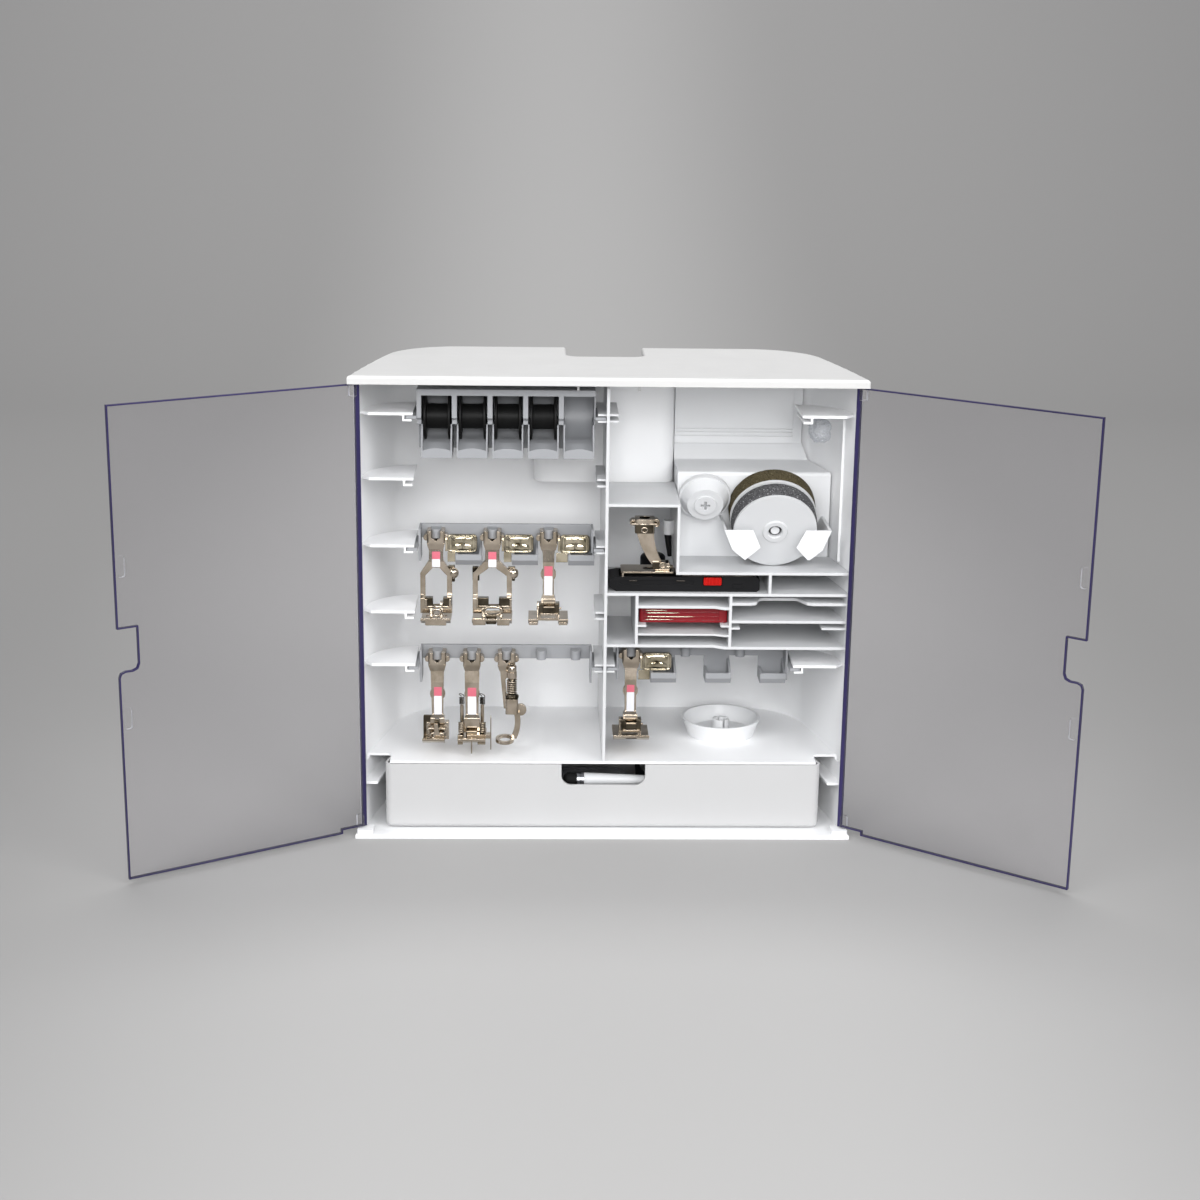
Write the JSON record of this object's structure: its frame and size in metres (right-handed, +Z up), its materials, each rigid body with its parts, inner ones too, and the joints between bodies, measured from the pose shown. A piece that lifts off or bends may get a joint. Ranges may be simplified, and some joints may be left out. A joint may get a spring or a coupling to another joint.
{
  "type": "sewing machine accessory box",
  "caption": "White upright accessory cabinet with clear hinged doors, sliding racks of presser feet and bobbins, shelves, a spool insert and a shallow drawer.",
  "frame": {"origin": "centre of the base's underside, 52 mm behind the side walls' front edges", "axes": "+X to the viewer's right along the front, +Y towards the back, +Z up"},
  "size_m": [0.5321, 0.2027, 0.2794],
  "materials": {
    "white_shell": "satin",
    "white_inner": "satin",
    "grey_rack": "satin",
    "clear_door": "gloss",
    "black_plastic": "satin",
    "nickel": "polished",
    "lens_metal": "polished",
    "grey_foam": "matt",
    "olive_foam": "matt",
    "red_case": "gloss",
    "red_button": "gloss",
    "film": "gloss",
    "black_card": "satin",
    "rubber_tip": "matt",
    "bright_ring": "polished"
  },
  "bodies": {
    "cabinet": {"cabinet_shell": "white_shell", "lid": "white_shell", "divider": "white_inner", "shelf_unit": "white_inner", "spool_insert": "white_inner", "front_spool_disc": "white_inner", "grey_foam_pad": "grey_foam", "middle_spool_disc": "white_inner", "olive_foam_pad": "olive_foam", "small_spool_cap": "white_inner", "sledge_frame": "black_plastic", "sledge_button": "red_button", "sledge_slide": "nickel", "sledge_shank": "nickel", "needle_case": "red_case", "black_round_cap": "black_plastic", "tapered_pin": "black_plastic", "dish": "white_inner", "clear_bag": "film"},
    "left_door": {"left_door": "clear_door"},
    "right_door": {"right_door": "clear_door"},
    "drawer": {"drawer": "white_shell", "zip_bag": "film", "wrapper_bag": "film", "window_card": "black_card", "stylus_tip": "rubber_tip", "stylus_ring": "bright_ring", "stylus_barrel": "white_inner"},
    "bobbin_rack": {"bobbin_rack": "grey_rack", "bobbin_1": "black_plastic", "bobbin_2": "black_plastic", "bobbin_3": "black_plastic", "bobbin_4": "black_plastic"},
    "wide_foot_rack": {"wide_foot_rack": "grey_rack", "two_arm_narrow_foot_shank": "nickel", "two_arm_narrow_foot_sole": "nickel", "two_arm_wide_foot_shank": "nickel", "two_arm_wide_foot_sole": "nickel", "open_toe_foot_shank": "nickel", "open_toe_foot_sole": "nickel", "two_arm_narrow_coding_plate": "lens_metal", "two_arm_wide_coding_plate": "lens_metal", "open_toe_coding_plate": "lens_metal"},
    "narrow_foot_rack": {"narrow_foot_rack": "grey_rack", "overlock_foot_shank": "nickel", "overlock_foot_sole": "nickel", "blind_stitch_foot_shank": "nickel", "blind_stitch_foot_sole": "nickel", "darning_foot_shank": "nickel", "darning_foot_toe": "nickel", "darning_foot_spring": "nickel"},
    "right_foot_rack": {"right_foot_rack": "grey_rack", "zigzag_foot_shank": "nickel", "zigzag_foot_sole": "nickel", "zigzag_coding_plate": "lens_metal"},
    "left_stand_foot": {"left_stand_foot": "white_shell"},
    "right_stand_foot": {"right_stand_foot": "white_shell"}
  },
  "joints": [
    {"name": "left_door_hinge", "type": "hinge", "parent": "cabinet", "child": "left_door", "pos_m": [-0.146, -0.0565, 0.14], "axis": [0, 0, -1], "range_deg": [-148.4, 31.6]},
    {"name": "right_door_hinge", "type": "hinge", "parent": "cabinet", "child": "right_door", "pos_m": [0.146, -0.0565, 0.14], "axis": [0, 0, 1], "range_deg": [-142.3, 37.7]},
    {"name": "drawer_slide", "type": "slide", "parent": "cabinet", "child": "drawer", "axis": [0, -1, 0], "range_m": [0, 0.07]},
    {"name": "bobbin_rack_slide", "type": "slide", "parent": "cabinet", "child": "bobbin_rack", "axis": [0, -1, 0], "range_m": [0, 0.045]},
    {"name": "wide_foot_rack_slide", "type": "slide", "parent": "cabinet", "child": "wide_foot_rack", "axis": [0, -1, 0], "range_m": [0, 0.045]},
    {"name": "narrow_foot_rack_slide", "type": "slide", "parent": "cabinet", "child": "narrow_foot_rack", "axis": [0, -1, 0], "range_m": [0, 0.045]},
    {"name": "right_foot_rack_slide", "type": "slide", "parent": "cabinet", "child": "right_foot_rack", "axis": [0, -1, 0], "range_m": [0, 0.045]},
    {"name": "left_stand_foot_hinge", "type": "hinge", "parent": "cabinet", "child": "left_stand_foot", "pos_m": [-0.076, 0.049, 0.004], "axis": [0, 0, 1], "range_deg": [0, 90]},
    {"name": "right_stand_foot_hinge", "type": "hinge", "parent": "cabinet", "child": "right_stand_foot", "pos_m": [0.076, 0.049, 0.004], "axis": [0, 0, -1], "range_deg": [0, 90]}
  ]
}
